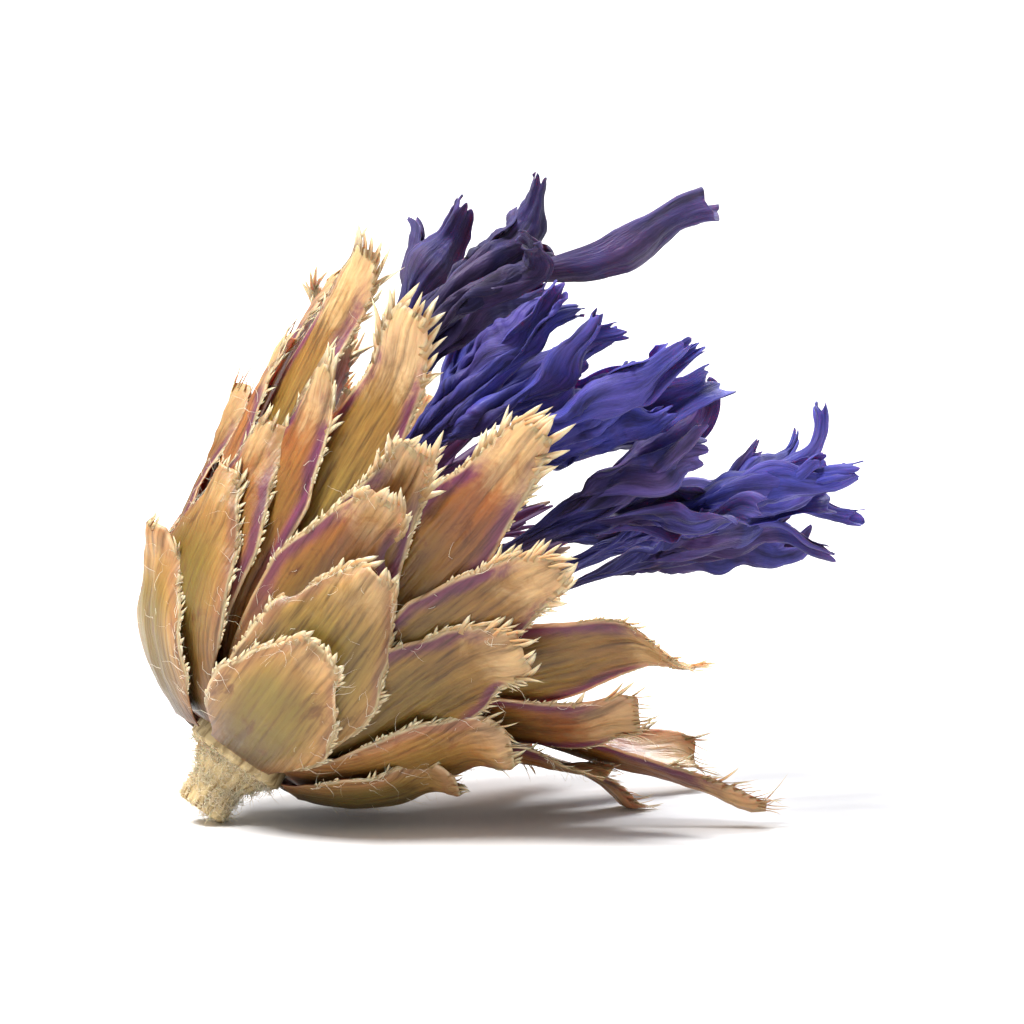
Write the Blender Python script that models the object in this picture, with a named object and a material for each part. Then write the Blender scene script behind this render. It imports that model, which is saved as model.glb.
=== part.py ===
"""Dried cornflower head lying on its side: cut stem, receptacle, five rings of overlapping bracts,
ray florets round the mouth and disc florets inside it. Metres, +Z up, z = 0 is the surface it rests on.

Everything is modelled in the head's own frame, where +Z is the flower's axis and the stem is below
the origin. One empty then lays the whole head down."""

import math
import random

import bpy
import numpy as np
from mathutils import Euler, Matrix, Vector

MM = 0.001

# The wall of bracts, as seen in a half section through the axis
WALL_START_RADIUS = 1.3 * MM
WALL_START_HEIGHT = 1.4 * MM
ROOT_ANGLE = math.radians(66)
ROOT_REACH = 2.6 * MM
BELLY_ANGLE = math.radians(2)
SPLAY_ANGLE = math.radians(8)
OPEN_SIDE_SPLAY = math.radians(65)
OPEN_SIDE = math.radians(-8)
OPEN_SIDE_SHARPNESS = 2.1
SPLAY_FROM = 1.2 * MM
SPLAY_REACH = 5.0 * MM

# Bracts
BRACT_THICKNESS = 0.17 * MM
RING_PITCH = 0.3 * MM
BRACT_GAP = 0.12 * MM
EDGE_LIFT = 16
TIP_DRIFT = 7
TIP_BEND_POWER = 1.3
ROOT_WIDTH = 0.5
WIDEST_FROM = 0.45
NARROWS_FROM = 0.5
LENGTH_VARIES = (0.95, 1.04)
PLACE_VARIES = 0.02
BRACT_ROWS = 8
BRACT_COLUMNS = 4
PATH_STEPS = 60
# count, length, half width, where the tip comes loose, tip width share, first azimuth in turns,
# least and greatest outward bend of the loose tip in degrees
RINGS = (
    (5, 3.6 * MM, 1.7 * MM, 2.4 * MM, 0.2, 0.1, 0, 8),
    (6, 5.6 * MM, 1.85 * MM, 3.9 * MM, 0.24, 0.035, 0, 12),
    (8, 7.3 * MM, 1.6 * MM, 5.8 * MM, 0.3, 0.05, 0, 12),
    (10, 8.9 * MM, 1.35 * MM, 7.6 * MM, 0.42, -0.022, 0, 8),
    (10, 11.2 * MM, 1.25 * MM, 9.3 * MM, 0.5, 0.028, -14, 16),
)

# Stem and receptacle
STEM_LENGTH = 1.3 * MM
STEM_RADIUS = 0.62 * MM
STEM_COLLAR_RADIUS = 0.86 * MM
DISC_RADIUS = 2.45 * MM
DISC_THICKNESS = 0.45 * MM
CLEARANCE = 0.1 * MM
CONE_RADIUS = 1.16 * MM
CONE_FOOT_RADIUS = 1.28 * MM
UNDER_WALL = 0.12 * MM
ROUND_SEGMENTS = 24

# Florets
FLORET_BASE_HEIGHT = 3.0 * MM
GOLDEN_ANGLE = math.pi * (3 - math.sqrt(5))
DROOP = 0.42
DROOP_SOON = 1.6

# Disc florets
DISC_FLORETS = 8
DISC_FLORET_PITCH = 0.4 * MM
DISC_FLORET_LENGTH = (6.2 * MM, 7.6 * MM)
DISC_FLORET_LEAN = math.radians(19)
DISC_FLORET_BEND = math.radians(9)
DISC_FLORET_TILT = 8
DISC_FLORET_STEPS = 40
DISC_FLORET_AROUND = 8
# share of the length, radius: fruit, tube, swollen limb, anthers
DISC_FLORET_PROFILE = (
    (0.025, 0.16 * MM), (0.05, 0.25 * MM), (0.225, 0.26 * MM), (0.3, 0.13 * MM), (0.5, 0.15 * MM),
    (0.625, 0.32 * MM), (0.775, 0.36 * MM), (0.875, 0.2 * MM), (0.975, 0.12 * MM),
)

# Ray florets
RAY_BASE_RADIUS = 2.1 * MM
RAY_LEAN = math.radians(15)
RAY_STEPS = 60
TUBE_RADIUS = 0.24 * MM
FRUIT_SWELL = 0.1 * MM
FRUIT_AT = 0.07
FRUIT_REACH = 0.05
LIMB_FROM = 0.5
RIM_AT = 0.7
FLARE_BEYOND_RIM = 0.1
RAY_OUTER_SHARES = (0.02, 0.07, 0.14, 0.3, 0.4, LIMB_FROM, 0.6, RIM_AT)
RAY_INNER_SHARES = (RIM_AT, 0.6, 0.52)
RAY_THROAT_AT = 0.48
RAY_WALL = 0.2 * MM
RAY_LOBES = 5
LOBE_ROWS = 4
LOBE_NARROWS = 0.8
PARTING_VARIES = 0.25
LOBE_DRIFTS = 0.12
# azimuth in degrees, length, where the bend begins, outward and sideways bend in degrees,
# limb half width, flatness, how far the lobes part
RAYS = (
    (4, 13.8 * MM, 0.5, 16, 8, 0.95 * MM, 0.45, 0.3),
    (36, 12.4 * MM, 0.45, 10, -8, 0.95 * MM, 0.45, 0.3),
    (68, 12.8 * MM, 0.45, 18, 2, 0.95 * MM, 0.45, 0.3),
    (100, 12.0 * MM, 0.45, 14, -2, 0.95 * MM, 0.45, 0.3),
    (141, 12.0 * MM, 0.5, 10, 10, 0.9 * MM, 0.5, 0.4),
    (186, 14.6 * MM, 0.5, -44, -14, 0.85 * MM, 0.5, -0.2),
    (222, 11.6 * MM, 0.4, -10, 2, 0.95 * MM, 0.4, 0.1),
    (252, 12.4 * MM, 0.4, -2, 10, 0.9 * MM, 0.4, 0.2),
    (283, 11.8 * MM, 0.4, 6, 6, 0.95 * MM, 0.4, 0.3),
    (310, 13.4 * MM, 0.45, 12, 2, 0.95 * MM, 0.4, 0.3),
    (338, 12.4 * MM, 0.45, 22, 2, 0.95 * MM, 0.4, 0.4),
)

# How the head lies
AXIS_ELEVATION = math.radians(53.7)
AXIS_TURN = math.radians(14.3)
HEAD_ROLL = math.radians(4.9)

# Colours
STRAW = (0.52, 0.34, 0.15)
STRAW_GREEN = (0.36, 0.29, 0.11)
WOOL = (0.72, 0.60, 0.38)
VIOLET_BLUE = (0.05, 0.05, 0.27)
PURPLE = (0.10, 0.04, 0.14)
GREENISH_RINGS = (1, 2)
SHARP_EDGE = math.radians(40)


def smooth(t):
    """0 below 0, 1 above 1, and an even curve between."""
    t = min(1.0, max(0.0, t))
    return t * t * (3 - 2 * t)


def wall_angle(s, azimuth):
    """How far the wall leans out from the axis, at distance s along it."""
    openness = (0.5 + 0.5 * math.cos(azimuth - OPEN_SIDE)) ** OPEN_SIDE_SHARPNESS
    splay = SPLAY_ANGLE + OPEN_SIDE_SPLAY * openness
    root = ROOT_ANGLE * math.exp(-((s / ROOT_REACH) ** 2))
    return root + BELLY_ANGLE + splay * smooth((s - SPLAY_FROM) / SPLAY_REACH)


def wall_path(azimuth, length, offset, bend=0.0, loose_from=None):
    """Points (radius, height) and wall angles of a line that runs up the wall, offset outwards.
    Past loose_from the line leans out by up to bend more than the wall does."""
    step = length / PATH_STEPS
    angle = wall_angle(0, azimuth)
    radius = WALL_START_RADIUS + offset * math.cos(angle)
    height = WALL_START_HEIGHT - offset * math.sin(angle)
    path = [(0.0, radius, height, angle)]
    for n in range(PATH_STEPS):
        here = wall_angle(n * step, azimuth)
        there = wall_angle((n + 1) * step, azimuth)
        stretch = step - offset * (there - here)
        s = (n + 1) * step
        extra = 0.0
        if loose_from is not None and s > loose_from:
            extra = bend * ((s - loose_from) / (length - loose_from)) ** TIP_BEND_POWER
        angle = (here + there) / 2 + extra
        radius += stretch * math.sin(angle)
        height += stretch * math.cos(angle)
        path.append((s, radius, height, there + extra))
    return path


def point_on(path, share):
    """(radius, height, angle) at a share of a path's length."""
    place = share * (len(path) - 1)
    n = min(int(place), len(path) - 2)
    mix = place - n
    return [a + (b - a) * mix for a, b in zip(path[n][1:], path[n + 1][1:])]


def plain_material(name, colour, roughness):
    material = bpy.data.materials.new(name)
    material.use_nodes = True
    shader = material.node_tree.nodes["Principled BSDF"]
    shader.inputs["Base Color"].default_value = (*colour, 1)
    shader.inputs["Roughness"].default_value = roughness
    shader.inputs["Metallic"].default_value = 0
    return material


def bract_material(name, ring):
    return plain_material(name, STRAW_GREEN if ring in GREENISH_RINGS else STRAW, 0.6)


def receptacle_material(name):
    return plain_material(name, STRAW, 0.75)


def wool_material(name):
    return plain_material(name, WOOL, 0.9)


def ray_material(name):
    return plain_material(name, VIOLET_BLUE, 0.55)


def disc_floret_material(name):
    return plain_material(name, PURPLE, 0.6)


def add_mesh(material, points, faces, parent, turn=0.0):
    """An object named like its own material, turned about the head's axis."""
    mesh = bpy.data.meshes.new(material.name)
    mesh.from_pydata([tuple(p) for p in points], [], faces)
    mesh.update()
    mesh.shade_smooth()
    mesh.set_sharp_from_angle(angle=SHARP_EDGE)
    mesh.materials.append(material)
    obj = bpy.data.objects.new(material.name, mesh)
    bpy.context.scene.collection.objects.link(obj)
    obj.parent = parent
    obj.rotation_euler = Euler((0, 0, turn))
    return obj


def plate_faces(rows, columns):
    """Faces of a closed plate whose outer grid comes first and whose inner grid follows it."""
    wide = columns + 1
    inner = (rows + 1) * wide
    faces = []
    for j in range(rows):
        for i in range(columns):
            a = j * wide + i
            b, c, d = a + 1, a + wide + 1, a + wide
            faces.append((a, b, c, d))
            faces.append((inner + a, inner + d, inner + c, inner + b))
    rim = [(0, i) for i in range(wide)]
    rim += [(j, columns) for j in range(1, rows + 1)]
    rim += [(rows, i) for i in range(columns - 1, -1, -1)]
    rim += [(j, 0) for j in range(rows - 1, 0, -1)]
    edge = [j * wide + i for j, i in rim]
    for a, b in zip(edge, edge[1:] + edge[:1]):
        faces.append((b, a, inner + a, inner + b))
    return faces


def bract_outline(share, tip):
    """Width share along a bract: a narrow root, widest past the middle, and a blunt tip."""
    root = ROOT_WIDTH + (1 - ROOT_WIDTH) * smooth(share / WIDEST_FROM)
    return root * (1 - (1 - tip) * smooth((share - NARROWS_FROM) / (1 - NARROWS_FROM)))


def bract_points(azimuth, ring, rng):
    """Outer and inner grid of one bract, with its middle on +X. Its covered part follows the wall;
    past loose_from it bends out, drifts to one side and lifts one edge."""
    count, length, half_width, loose_from, tip, _, least_bend, most_bend = RINGS[ring]
    length *= rng.uniform(*LENGTH_VARIES)
    bend = math.radians(rng.uniform(least_bend, most_bend))
    lift = math.sin(math.radians(rng.uniform(-EDGE_LIFT, EDGE_LIFT)))
    drift = math.radians(rng.uniform(-TIP_DRIFT, TIP_DRIFT))
    offset = RING_PITCH * (len(RINGS) - 1 - ring)
    outer, inner = [], []
    for j in range(BRACT_ROWS + 1):
        share = j / BRACT_ROWS
        loose = smooth((share * length - loose_from) / (length - loose_from))
        for i in range(BRACT_COLUMNS + 1):
            across = 2 * i / BRACT_COLUMNS - 1
            reach = WALL_START_RADIUS + 0.75 * share * length
            room = math.pi / count - BRACT_GAP / 2 / WALL_START_RADIUS
            turn = 0.0
            for _ in range(2):
                spread = min(half_width * bract_outline(share, tip) / reach, room)
                turn = across * spread + math.tan(drift) * loose * (length - loose_from) / reach
                path = wall_path(azimuth + turn, length, offset, bend, loose_from)
                radius, height, angle = point_on(path, share)
                reach = radius
            way = Vector((math.cos(turn), math.sin(turn), 0))
            normal = way * math.cos(angle) - Vector((0, 0, math.sin(angle)))
            edge = spread * reach * abs(lift) * (1 + across * math.copysign(1, lift)) * loose
            place = way * radius + Vector((0, 0, height)) + normal * edge
            outer.append(place + normal * BRACT_THICKNESS / 2)
            inner.append(place - normal * BRACT_THICKNESS / 2)
    return outer + inner


def add_bracts(parent):
    """Five rings of bracts, outermost and shortest first."""
    faces = plate_faces(BRACT_ROWS, BRACT_COLUMNS)
    for ring, row in enumerate(RINGS):
        count, first = row[0], row[5]
        for n in range(count):
            rng = random.Random(100 * ring + n)
            azimuth = 2 * math.pi * (first + (n + rng.uniform(-PLACE_VARIES, PLACE_VARIES)) / count)
            points = bract_points(azimuth, ring, rng)
            material = bract_material(f"bract_ring{ring + 1}_{n + 1:02d}", ring)
            add_mesh(material, points, faces, parent, azimuth)


def turned(material, profile, parent):
    """A solid turned about the head's axis. The profile runs from the bottom centre to the top."""
    rings = profile[1:-1]
    points = [(0, 0, profile[0][1])]
    for radius, height in rings:
        for n in range(ROUND_SEGMENTS):
            a = 2 * math.pi * n / ROUND_SEGMENTS
            points.append((radius * math.cos(a), radius * math.sin(a), height))
    points.append((0, 0, profile[-1][1]))
    faces = tube_faces(len(rings), ROUND_SEGMENTS)
    return add_mesh(material, points, faces, parent)


def tube_faces(rings, around):
    """Faces of a tube of rings closed by a point at each end, the first point and the last."""
    last = rings * around + 1
    faces = []
    for n in range(around):
        m = (n + 1) % around
        faces.append((0, 1 + m, 1 + n))
        for j in range(rings - 1):
            a = 1 + j * around
            faces.append((a + n, a + m, a + around + m, a + around + n))
        top = 1 + (rings - 1) * around
        faces.append((top + n, top + m, last))
    return faces


def add_receptacle(parent):
    """The stem's swollen top: a cone that the bracts sit on, and the dish that holds the florets."""
    profile = [
        (0, 0),
        (STEM_COLLAR_RADIUS, 0),
        (0.94 * CONE_FOOT_RADIUS, 0.8 * CLEARANCE),
        (CONE_FOOT_RADIUS, 1.6 * CLEARANCE),
        (CONE_RADIUS, WALL_START_HEIGHT - CLEARANCE),
        (CONE_RADIUS, WALL_START_HEIGHT + 2.5 * CLEARANCE),
    ]
    inset = BRACT_THICKNESS / 2 + CLEARANCE + UNDER_WALL
    under = wall_path(OPEN_SIDE, DISC_RADIUS, -inset)
    for share in (0.2, 0.4, 0.6):
        radius, height, _ = point_on(under, share)
        if radius < DISC_RADIUS:
            profile.append((radius, height))
    edge_height = profile[-1][1] + 1.5 * CLEARANCE
    profile.append((DISC_RADIUS, edge_height))
    profile.append((DISC_RADIUS, edge_height + DISC_THICKNESS / 2))
    profile.append((0.6 * DISC_RADIUS, FLORET_BASE_HEIGHT - 1.6 * CLEARANCE))
    profile.append((0, FLORET_BASE_HEIGHT - CLEARANCE))
    turned(receptacle_material("receptacle"), profile, parent)


def add_stem(parent):
    """The stub that was left when the head was picked, cut square at its end."""
    profile = [
        (0, -STEM_LENGTH),
        (0.92 * STEM_RADIUS, -STEM_LENGTH),
        (STEM_RADIUS, -0.9 * STEM_LENGTH),
        (STEM_RADIUS, -0.45 * STEM_LENGTH),
        (STEM_COLLAR_RADIUS, -1.2 * CLEARANCE),
        (0, -1.2 * CLEARANCE),
    ]
    turned(wool_material("stem"), profile, parent)


def floret_path(azimuth, base_radius, lean, bends, length, steps):
    """Points up a floret. It starts on the receptacle, leans out by lean, then by each of bends:
    (share of the length, extra outward lean, sideways lean). All droop towards the open side."""
    droop = Vector((math.cos(OPEN_SIDE), math.sin(OPEN_SIDE), 0)) * DROOP
    out = Vector((math.cos(azimuth), math.sin(azimuth), 0))
    side = Vector((-math.sin(azimuth), math.cos(azimuth), 0))
    point = out * base_radius + Vector((0, 0, FLORET_BASE_HEIGHT))
    points = [point.copy()]
    for n in range(steps):
        share = (n + 0.5) / steps
        outward, sideways = lean, 0.0
        for start, more_out, more_side in bends:
            grown = smooth((share - start) / (1 - start))
            outward += more_out * grown
            sideways += more_side * grown
        way = Vector((0, 0, math.cos(outward))) + out * math.sin(outward)
        way += side * math.sin(sideways) + droop * smooth(DROOP_SOON * share)
        point = point + way.normalized() * (length / steps)
        points.append(point.copy())
    return points


def frames_along(points, side):
    """A (tangent, across, outward) frame at each point, turned as little as possible."""
    frames = []
    across = side
    for n, _ in enumerate(points):
        ahead = points[min(n + 1, len(points) - 1)]
        behind = points[max(n - 1, 0)]
        tangent = (ahead - behind).normalized()
        across = (across - tangent * across.dot(tangent)).normalized()
        frames.append((tangent, across, tangent.cross(across)))
    return frames


def disc_floret_points(n, rng):
    """Rings up a disc floret between the point at its foot and the one at its tip."""
    azimuth = n * GOLDEN_ANGLE
    base_radius = DISC_FLORET_PITCH * math.sqrt(n + 0.6)
    lean = DISC_FLORET_LEAN * base_radius / RAY_BASE_RADIUS
    tilt = math.radians(rng.uniform(-DISC_FLORET_TILT, DISC_FLORET_TILT))
    length = rng.uniform(*DISC_FLORET_LENGTH)
    bends = [(0.5, DISC_FLORET_BEND, tilt)]
    path = floret_path(azimuth, base_radius, lean, bends, length, DISC_FLORET_STEPS)
    frames = frames_along(path, Vector((-math.sin(azimuth), math.cos(azimuth), 0)))
    points = [path[0]]
    for share, radius in DISC_FLORET_PROFILE:
        k = round(share * DISC_FLORET_STEPS)
        _, across, outward = frames[k]
        for m in range(DISC_FLORET_AROUND):
            a = 2 * math.pi * m / DISC_FLORET_AROUND
            points.append(path[k] + (across * math.cos(a) + outward * math.sin(a)) * radius)
    points.append(path[-1])
    return points


def add_disc_florets(parent):
    """Small tube florets in a spiral on the receptacle, opening like a brush."""
    faces = tube_faces(len(DISC_FLORET_PROFILE), DISC_FLORET_AROUND)
    for n in range(DISC_FLORETS):
        points = disc_floret_points(n, random.Random(900 + n))
        add_mesh(disc_floret_material(f"disc_floret_{n + 1:02d}"), points, faces, parent)


def ray_radius(share, limb):
    """Half width of a ray floret: fruit at the foot, a thin tube, then a trumpet."""
    foot = FRUIT_SWELL * math.exp(-(((share - FRUIT_AT) / FRUIT_REACH) ** 2))
    flare = smooth((share - LIMB_FROM) / (RIM_AT + FLARE_BEYOND_RIM - LIMB_FROM))
    return TUBE_RADIUS + foot + (limb - TUBE_RADIUS) * flare


def ray_point(frame_set, share, angle, radius, flat):
    """A point on a flattened ring round a floret's path."""
    path, frames = frame_set
    k = min(RAY_STEPS, round(share * RAY_STEPS))
    _, across, outward = frames[k]
    return path[k] + across * radius * math.cos(angle) + outward * radius * flat * math.sin(angle)


def add_ray_floret(number, row, parent):
    """A trumpet with a slender closed tube, an open limb and five narrow lobes."""
    azimuth, length, bend_from, outward, sideways, limb, flat, parting = row
    turn = math.radians(azimuth)
    bends = [(bend_from, math.radians(outward), math.radians(sideways))]
    path = floret_path(turn, RAY_BASE_RADIUS, RAY_LEAN, bends, length, RAY_STEPS)
    frame_set = (path, frames_along(path, Vector((-math.sin(turn), math.cos(turn), 0))))
    around = 2 * RAY_LOBES
    points, faces = [path[0]], []

    def ring(share, inset):
        first = len(points)
        radius = ray_radius(share, limb) - inset
        for m in range(around):
            points.append(ray_point(frame_set, share, 2 * math.pi * m / around, radius, flat))
        return first

    outer = [ring(share, 0) for share in RAY_OUTER_SHARES]
    inner = [ring(share, RAY_WALL) for share in RAY_INNER_SHARES]
    points.append(path[round(RAY_THROAT_AT * RAY_STEPS)])
    throat = len(points) - 1
    for m in range(around):
        n = (m + 1) % around
        faces.append((0, outer[0] + n, outer[0] + m))
        for a, b in zip(outer, outer[1:]):
            faces.append((a + m, a + n, b + n, b + m))
        for a, b in zip(inner, inner[1:]):
            faces.append((a + m, a + n, b + n, b + m))
        faces.append((inner[-1] + m, inner[-1] + n, throat))
    for lobe in range(RAY_LOBES):
        add_lobe(points, faces, frame_set, lobe, outer[-1], inner[0], limb, flat, parting)
    add_mesh(ray_material(f"ray_floret_{number:02d}"), points, faces, parent)


def add_lobe(points, faces, frame_set, lobe, outer_rim, inner_rim, limb, flat, parting):
    """One lobe of a ray floret: a thin strip that narrows to its tip."""
    rng = random.Random(round(limb / MM * 1000) + lobe)
    parting += rng.uniform(-PARTING_VARIES, PARTING_VARIES)
    drift = rng.uniform(-LOBE_DRIFTS, LOBE_DRIFTS)
    around = 2 * RAY_LOBES
    centre = 2 * math.pi * (2 * lobe + 1) / around
    spread = 2 * math.pi / around
    columns = [2 * lobe, 2 * lobe + 1, (2 * lobe + 2) % around]
    rows_out = [[outer_rim + c for c in columns]]
    rows_in = [[inner_rim + c for c in columns]]
    for row in range(1, LOBE_ROWS + 1):
        t = row / LOBE_ROWS
        share = RIM_AT + (1 - RIM_AT) * t
        radius = limb * (1 + parting * t)
        width = spread * (1 - LOBE_NARROWS * t ** 1.4)
        out_row, in_row = [], []
        for side in (-1, 0, 1):
            angle = centre + drift * t + side * width
            out_row.append(len(points))
            points.append(ray_point(frame_set, share, angle, radius, flat))
            in_row.append(len(points))
            points.append(ray_point(frame_set, share, angle, radius - RAY_WALL, flat))
        rows_out.append(out_row)
        rows_in.append(in_row)
    for j in range(LOBE_ROWS):
        a, b = rows_out[j], rows_out[j + 1]
        c, d = rows_in[j], rows_in[j + 1]
        for i in (0, 1):
            faces.append((a[i], a[i + 1], b[i + 1], b[i]))
            faces.append((c[i + 1], c[i], d[i], d[i + 1]))
        faces.append((a[0], b[0], d[0], c[0]))
        faces.append((b[2], a[2], c[2], d[2]))
    last_out, last_in = rows_out[-1], rows_in[-1]
    for i in (0, 1):
        faces.append((last_out[i], last_out[i + 1], last_in[i + 1], last_in[i]))


def add_ray_florets(parent):
    for number, row in enumerate(RAYS, 1):
        add_ray_floret(number, row, parent)


def lay_down(head):
    """Tips the head onto its side and drops it so that it rests on z = 0 under its own middle."""
    tip = Matrix.Rotation(math.pi / 2 - AXIS_ELEVATION, 4, "Y")
    turn = Matrix.Rotation(AXIS_TURN, 4, "Z")
    roll = Matrix.Rotation(HEAD_ROLL, 4, "Z")
    head.matrix_world = turn @ tip @ roll
    bpy.context.view_layer.update()
    corners = []
    for obj in head.children:
        flat = np.empty(len(obj.data.vertices) * 3)
        obj.data.vertices.foreach_get("co", flat)
        world = np.array(obj.matrix_world)
        corners.append(flat.reshape(-1, 3) @ world[:3, :3].T + world[:3, 3])
    corners = np.concatenate(corners)
    low, high = corners.min(axis=0), corners.max(axis=0)
    head.location = Vector((-(low[0] + high[0]) / 2, -(low[1] + high[1]) / 2, -low[2]))


def main():
    for obj in list(bpy.data.objects):
        bpy.data.objects.remove(obj)
    head = bpy.data.objects.new("head", None)
    bpy.context.scene.collection.objects.link(head)
    add_stem(head)
    add_receptacle(head)
    add_bracts(head)
    add_disc_florets(head)
    add_ray_florets(head)
    lay_down(head)


main()
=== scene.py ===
"""A dried cornflower head lying on a pale surface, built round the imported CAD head.

Shapes are worked out in the head's own frame in millimetres, with +Z along the flower's axis and the
stem below the origin, by the same rules as the CAD pieces, and then laid down where the CAD head lies.
"""

import random
from math import copysign, cos, pi, radians, sin, sqrt, tan

import bpy
import numpy as np
from mathutils import Matrix, Vector


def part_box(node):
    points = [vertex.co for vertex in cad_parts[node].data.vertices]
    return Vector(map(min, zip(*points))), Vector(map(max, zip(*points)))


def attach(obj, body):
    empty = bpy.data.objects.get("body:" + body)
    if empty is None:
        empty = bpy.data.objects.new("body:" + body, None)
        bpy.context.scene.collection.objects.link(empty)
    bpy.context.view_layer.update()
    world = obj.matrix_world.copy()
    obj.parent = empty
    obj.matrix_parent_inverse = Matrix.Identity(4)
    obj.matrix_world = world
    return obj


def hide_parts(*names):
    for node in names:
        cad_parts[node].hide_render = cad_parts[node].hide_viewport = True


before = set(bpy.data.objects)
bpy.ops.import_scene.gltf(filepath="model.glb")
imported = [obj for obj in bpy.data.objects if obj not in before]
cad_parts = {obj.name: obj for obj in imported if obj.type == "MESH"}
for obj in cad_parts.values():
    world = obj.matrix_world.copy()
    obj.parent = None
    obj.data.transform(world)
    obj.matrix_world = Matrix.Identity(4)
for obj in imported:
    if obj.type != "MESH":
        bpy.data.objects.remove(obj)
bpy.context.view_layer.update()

MM = 0.001
UP = np.array([0.0, 0, 1])

# ---------------- the head's measures, as in the CAD

WALL_START_RADIUS, WALL_START_HEIGHT = 1.3, 1.4
ROOT_ANGLE, ROOT_REACH = radians(66), 2.6
BELLY_ANGLE = radians(2)
SPLAY_ANGLE, OPEN_SIDE_SPLAY = radians(8), radians(65)
OPEN_SIDE, OPEN_SIDE_SHARPNESS = radians(-8), 2.1
SPLAY_FROM, SPLAY_REACH = 1.2, 5.0
RING_PITCH, BRACT_GAP = 0.3, 0.12
EDGE_LIFT, TIP_DRIFT = 16, 7
PATH_STEPS = 60
# count, length, half width, where the tip comes loose, tip width share, first azimuth in turns,
# least and greatest outward bend of the loose tip in degrees
RINGS = (
    (5, 3.6, 1.7, 2.4, 0.2, 0.1, 0, 8),
    (6, 5.6, 1.85, 3.9, 0.24, 0.035, 0, 12),
    (8, 7.3, 1.6, 5.8, 0.3, 0.05, 0, 12),
    (10, 8.9, 1.35, 7.6, 0.42, -0.022, 0, 8),
    (10, 11.2, 1.25, 9.3, 0.5, 0.028, -14, 16),
)
STEM_LENGTH, STEM_RADIUS, STEM_COLLAR_RADIUS = 1.3, 0.62, 0.86
DISC_RADIUS, CLEARANCE = 2.45, 0.1
FLORET_BASE_HEIGHT = 3.0
DISC_FLORETS, DISC_FLORET_PITCH = 8, 0.4
RAY_BASE_RADIUS = 2.1
GOLDEN_ANGLE = pi * (3 - sqrt(5))
DROOP = 0.42
# azimuth in degrees, length, where the bend begins, outward and sideways bend in degrees,
# limb half width, flatness, how far the lobes part
RAYS = (
    (4, 13.8, 0.5, 16, 8, 0.95, 0.45, 0.3),
    (36, 12.4, 0.45, 10, -8, 0.95, 0.45, 0.3),
    (68, 12.8, 0.45, 18, 2, 0.95, 0.45, 0.3),
    (100, 12.0, 0.45, 14, -2, 0.95, 0.45, 0.3),
    (141, 12.0, 0.5, 10, 10, 0.9, 0.5, 0.4),
    (186, 14.6, 0.5, -44, -14, 0.85, 0.5, -0.2),
    (222, 11.6, 0.4, -10, 2, 0.95, 0.4, 0.1),
    (252, 12.4, 0.4, -2, 10, 0.9, 0.4, 0.2),
    (283, 11.8, 0.4, 6, 6, 0.95, 0.4, 0.3),
    (310, 13.4, 0.45, 12, 2, 0.95, 0.4, 0.3),
    (338, 12.4, 0.45, 22, 2, 0.95, 0.4, 0.4),
)
RIM_AT = 0.7
AXIS_ELEVATION = radians(53.7)
AXIS_TURN = radians(14.3)
HEAD_ROLL = radians(4.9)

# ---------------- what only the visual model has

BRACT_ROWS, BRACT_COLUMNS = 64, 25
# by ring: where up the bract the teeth begin, where they turn into a comb, and how many hairs it has
FRINGE_FROM = (0.25, 0.38, 0.55, 0.7, 0.76)
COMB_FROM = (0.86, 0.84, 0.82, 0.8, 0.82)
BRACT_HAIRS = (64, 48, 30, 14, 6)
# least clear height of a bract's middle surface, so that its thickness stays above the floor
BRACT_CLEAR = 0.06

LOBES, LOBE_COLUMNS, LOBE_ROWS, TUBE_ROWS = 5, 20, 40, 84
AROUND = LOBES * LOBE_COLUMNS
ANGLE = np.arange(AROUND) / AROUND * 2 * pi
# how far the rim is cut back between lobes, as a share of the floret's length
NOTCH = 0.09
# the floret that arches over the top, and how long each of its lobes is
ARCHED, ARCHED_LOBES = 6, (1.25, 0.5, 0.42, 0.62, 0.45)
# a disc floret's radius by share of its length, and where its lobes leave the tube
DISC_PROFILE = ((0.0, 0.05), (0.02, 0.16), (0.06, 0.25), (0.14, 0.27), (0.22, 0.25), (0.28, 0.13),
                (0.5, 0.13), (0.6, 0.26), (0.68, 0.3), (0.74, 0.27))
DISC_RIM_AT, DISC_LOBES_AT = 0.74, 0.73

STEM_WOOL, STEM_SEED = 5200, 4.2
RECEPTACLE_BRISTLES, RECEPTACLE_SEED = 1300, 8.8

# the set, in metres
FLOOR_SIZE, FLOOR_THICKNESS, WORLD_STRENGTH = 1.6, 0.001, 0.44
CAMERA_ELEVATION, CAMERA_DISTANCE, CAMERA_AIM = radians(7), 0.28, (0, 0, 0.0072)
VIEW_WIDTH, SENSOR_WIDTH = 0.0245, 36


def laid_down():
    """The turn of the head as it lies, and where its origin comes, read off the CAD stem."""
    tip = Matrix.Rotation(pi / 2 - AXIS_ELEVATION, 3, "Y")
    turn = Matrix.Rotation(AXIS_TURN, 3, "Z")
    roll = Matrix.Rotation(HEAD_ROLL, 3, "Z")
    lie = np.array(turn @ tip @ roll)
    around = np.linspace(0, 2 * pi, 25)[:-1]
    stub = ((0.92 * STEM_RADIUS, -STEM_LENGTH), (STEM_RADIUS, -0.9 * STEM_LENGTH),
            (STEM_RADIUS, -0.45 * STEM_LENGTH), (STEM_COLLAR_RADIUS, -1.2 * CLEARANCE))
    rings = [np.stack([r * np.cos(around), r * np.sin(around), np.full(24, h)], 1) for r, h in stub]
    own = np.concatenate(rings) @ lie.T * MM
    low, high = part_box("stem")
    middle = (np.array(low) + np.array(high)) / 2
    return lie, middle - (own.min(0) + own.max(0)) / 2


LIE, ORIGIN = laid_down()

# ---------------- small helpers


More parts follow.
